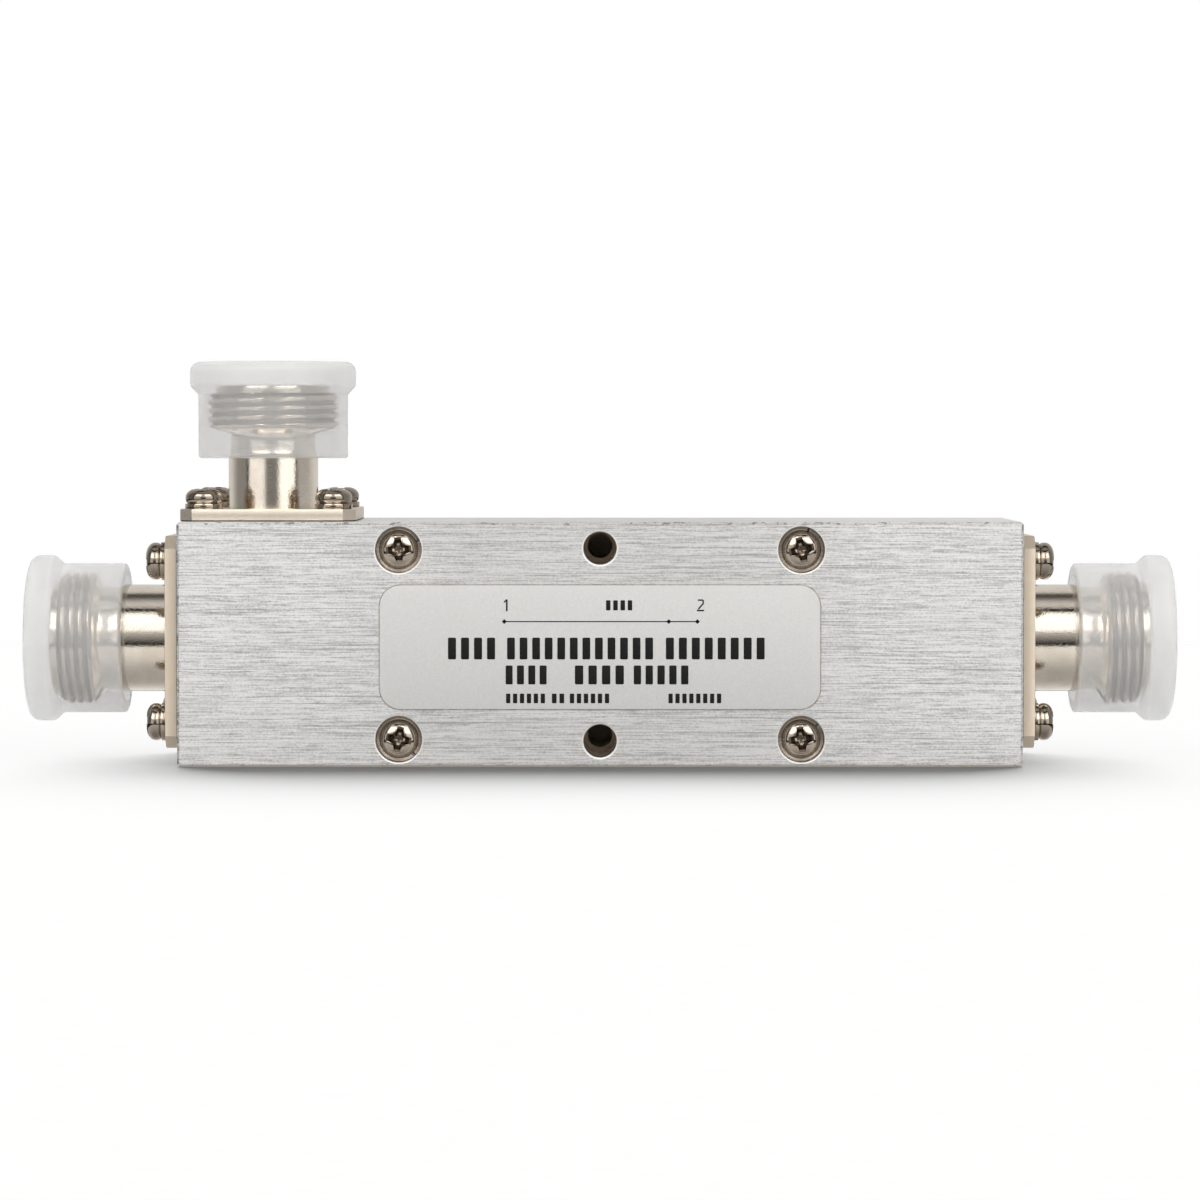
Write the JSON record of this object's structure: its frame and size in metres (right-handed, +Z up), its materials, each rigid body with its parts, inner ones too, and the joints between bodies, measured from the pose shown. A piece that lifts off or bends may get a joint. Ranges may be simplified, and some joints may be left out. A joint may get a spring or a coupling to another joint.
{
  "type": "directional coupler",
  "caption": "Coaxial directional coupler: milled aluminium block with a through line between two end connectors, a coupled port on top and push-on dust caps.",
  "frame": {"origin": "middle of the body's bottom face", "axes": "+X along the body from the input connector to the output connector, -Y out of the lid and its label, +Z up through the coupled port"},
  "size_m": [0.1388, 0.0282, 0.0485],
  "materials": {
    "body_aluminium": "coarse lengthwise brushed grain",
    "label_foil": "smooth matte silver foil",
    "nickel_plate": "warm bright nickel plate on turned brass",
    "screw_steel": "dark nickel-plated steel",
    "contact_gold": "gold plate",
    "line_silver": "silver plate on brass bar",
    "white_insulator": "waxy white fluoroplastic",
    "seal_rubber": "dark conductive silicone",
    "load_plate": "nickel-plated copper plate",
    "load_ceramic": "white ceramic",
    "cap_plastic": "frosted milky translucent polyethylene"
  },
  "bodies": {
    "root": {"housing": "body_aluminium", "lid": "body_aluminium", "lid_seal": "seal_rubber", "lid_screws": "screw_steel", "lid_washers": "screw_steel", "label": "label_foil", "main_line": "line_silver", "coupled_line": "line_silver", "line_supports": "white_insulator", "load_flange": "load_plate", "load_resistor": "load_ceramic", "load_screws": "screw_steel", "input_connector_shell": "nickel_plate", "input_insulator": "white_insulator", "input_centre_contact": "contact_gold", "input_flange_seal": "seal_rubber", "input_flange_screws": "screw_steel", "input_flange_washers": "screw_steel", "input_dust_cap": "cap_plastic", "output_connector_shell": "nickel_plate", "output_insulator": "white_insulator", "output_centre_contact": "contact_gold", "output_flange_seal": "seal_rubber", "output_flange_screws": "screw_steel", "output_flange_washers": "screw_steel", "output_dust_cap": "cap_plastic", "coupled_connector_shell": "nickel_plate", "coupled_insulator": "white_insulator", "coupled_centre_contact": "contact_gold", "coupled_flange_seal": "seal_rubber", "coupled_flange_screws": "screw_steel", "coupled_flange_washers": "screw_steel", "coupled_dust_cap": "cap_plastic"}
  },
  "joints": []
}
